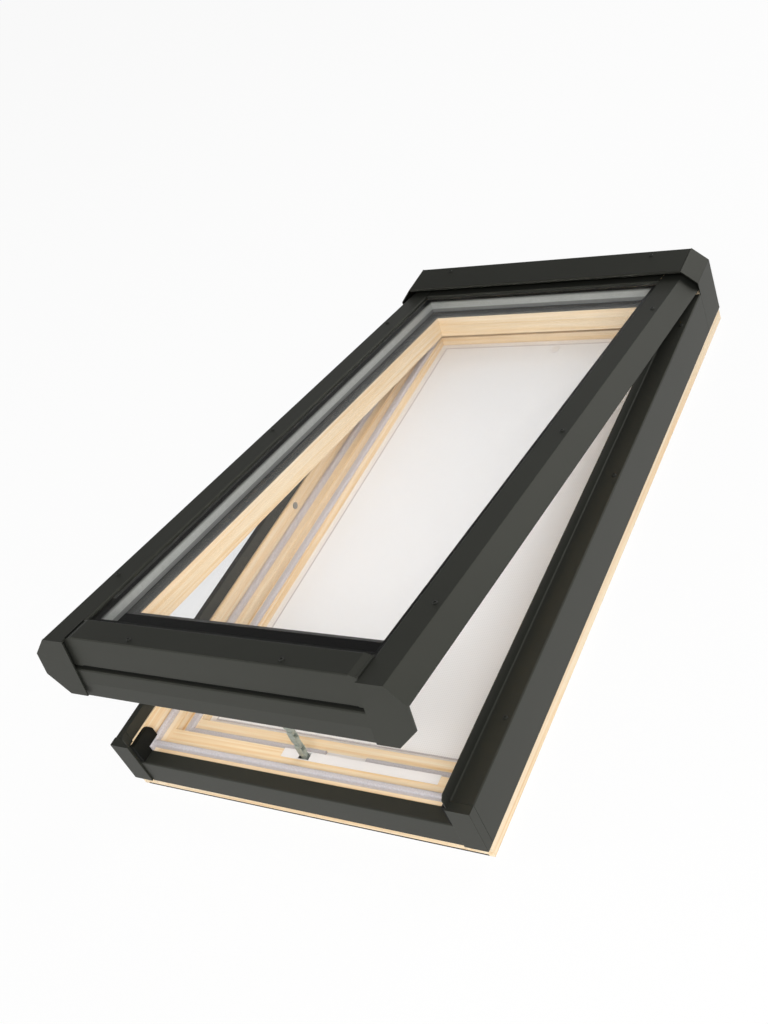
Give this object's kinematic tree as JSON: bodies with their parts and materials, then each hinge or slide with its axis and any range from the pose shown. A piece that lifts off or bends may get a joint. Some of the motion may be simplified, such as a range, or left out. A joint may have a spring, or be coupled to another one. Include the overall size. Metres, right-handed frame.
{
  "type": "venting roof window",
  "caption": "Deck-mounted roof skylight with clad pine frame, top-hinged sash with double glazing, chain drive, hood and insect screen, standing ajar.",
  "frame": {"origin": "bottom centre of the part's box in the open pose, on the frame's deck face", "axes": "+X across to the right, +Y up the roof slope towards the hinges, +Z out of the roof"},
  "size_m": [0.62, 1.205, 0.3527],
  "materials": {
    "pine": "clear lacquered pine",
    "cladding": "matte umbra-grey powder coat",
    "black_rubber": "matte",
    "grey_rubber": "matte",
    "screw_steel": "plain",
    "white_plastic": "satin",
    "grey_plastic": "satin",
    "screen_cloth": "fine mesh",
    "galvanised_steel": "galvanised",
    "spacer_metal": "satin",
    "glass": "clear"
  },
  "bodies": {
    "frame": {"frame_bottom_rail": "pine", "frame_top_rail": "pine", "frame_left_stile": "pine", "frame_right_stile": "pine", "frame_left_cladding": "cladding", "frame_right_cladding": "cladding", "frame_front_cladding": "cladding", "frame_left_corner_cap": "cladding", "frame_right_corner_cap": "cladding", "left_corner_seal": "black_rubber", "right_corner_seal": "black_rubber", "outer_frame_seal": "grey_rubber", "inner_frame_seal": "grey_rubber", "sill_strip": "black_rubber", "hood_cover": "cladding", "hood_left_end": "cladding", "hood_right_end": "cladding", "hood_screws": "screw_steel", "frame_cladding_screws": "screw_steel", "screen_frame": "white_plastic", "screen_spline": "grey_rubber", "screen_mesh": "screen_cloth", "screen_tab": "white_plastic", "drive_housing": "galvanised_steel", "drive_cover": "white_plastic", "drive_chain": "galvanised_steel", "left_hinge_frame_leaf": "galvanised_steel", "right_hinge_frame_leaf": "galvanised_steel", "left_hinge_pin": "galvanised_steel", "right_hinge_pin": "galvanised_steel", "stile_screw_cap": "grey_plastic"},
    "sash": {"sash_bottom_rail": "pine", "sash_top_rail": "pine", "sash_left_stile": "pine", "sash_right_stile": "pine", "sash_left_cladding": "cladding", "sash_right_cladding": "cladding", "sash_top_cladding": "cladding", "sash_front_panel": "cladding", "sash_apron": "cladding", "sash_left_corner_cap": "cladding", "sash_right_corner_cap": "cladding", "outer_pane": "glass", "inner_pane": "glass", "glass_spacer": "spacer_metal", "glass_edge_seal": "black_rubber", "glazing_bed": "black_rubber", "sash_screws": "screw_steel", "left_hinge_sash_leaf": "galvanised_steel", "right_hinge_sash_leaf": "galvanised_steel", "chain_bracket": "galvanised_steel"}
  },
  "joints": [
    {"name": "sash_hinge", "type": "hinge", "parent": "frame", "child": "sash", "pos_m": [0, 0.5595, 0.12], "axis": [-1, 0, 0], "range_deg": [-10.5, 0], "deforming": ["drive_chain"]}
  ]
}
